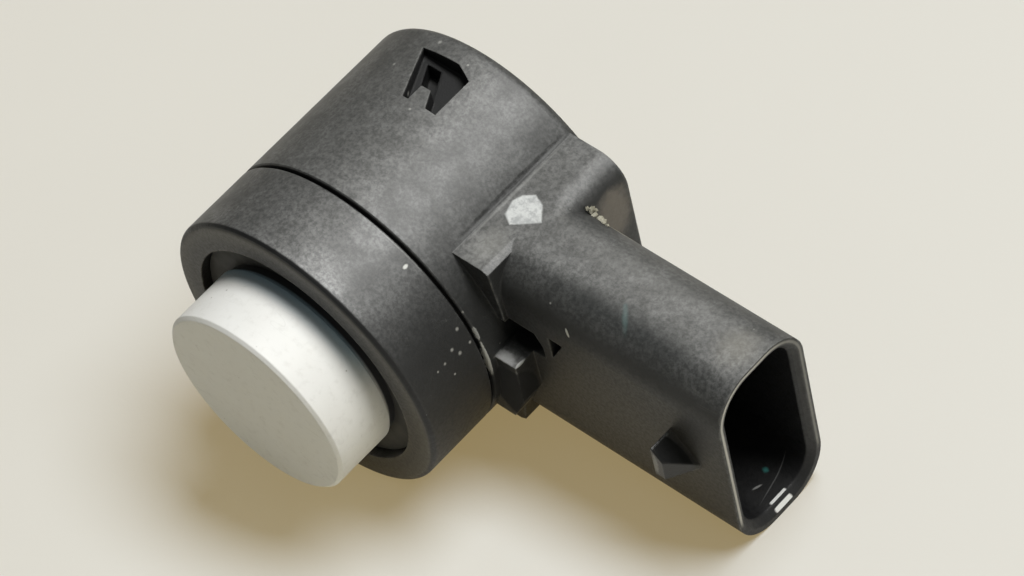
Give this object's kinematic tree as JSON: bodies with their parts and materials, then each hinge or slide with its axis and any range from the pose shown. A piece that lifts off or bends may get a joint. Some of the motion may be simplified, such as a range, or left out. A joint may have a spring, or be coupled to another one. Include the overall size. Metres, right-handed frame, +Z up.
{
  "type": "parking sensor",
  "caption": "Round ultrasonic parking sensor with a painted sensing cup in front, a saddle block and a plug socket at its side.",
  "frame": {"origin": "on the sensor axis, in the plane of the front ring's front face", "axes": "+X along the plug socket towards its mouth, -Y along the sensor axis towards the membrane, +Z up across the socket's tall side"},
  "size_m": [0.0434, 0.0268, 0.024],
  "materials": {
    "body_plastic": "dusty moulded black",
    "ring_plastic": "satin moulded black",
    "soft_rubber": "matt",
    "cup_paint": "satin white paint",
    "piezo_ceramic": "matt",
    "foam": "open cell",
    "potting": "satin",
    "live_wire": "satin",
    "return_wire": "satin",
    "board": "solder resist",
    "chip_black": "matt",
    "ferrite": "ground",
    "copper": "enamelled wire",
    "can_blue": "sleeved",
    "capacitor_tan": "glazed ends",
    "tinned": "tinned",
    "pin_metal": "plated"
  },
  "bodies": {
    "root": {"housing": "body_plastic", "front_ring": "ring_plastic", "seam_gasket": "soft_rubber", "membrane_cup": "cup_paint", "decoupling_ring": "soft_rubber", "piezo_disc": "piezo_ceramic", "damping_foam": "foam", "cup_plug": "potting", "live_lead": "live_wire", "return_lead": "return_wire", "circuit_board": "board", "control_chip": "chip_black", "transformer_core": "ferrite", "transformer_coil": "copper", "storage_capacitor": "can_blue", "filter_capacitors": "capacitor_tan", "chip_resistors": "chip_black", "clock_crystal": "tinned", "supply_terminal": "pin_metal", "signal_terminal": "pin_metal", "ground_terminal": "pin_metal", "solder_joints": "tinned"}
  },
  "joints": []
}
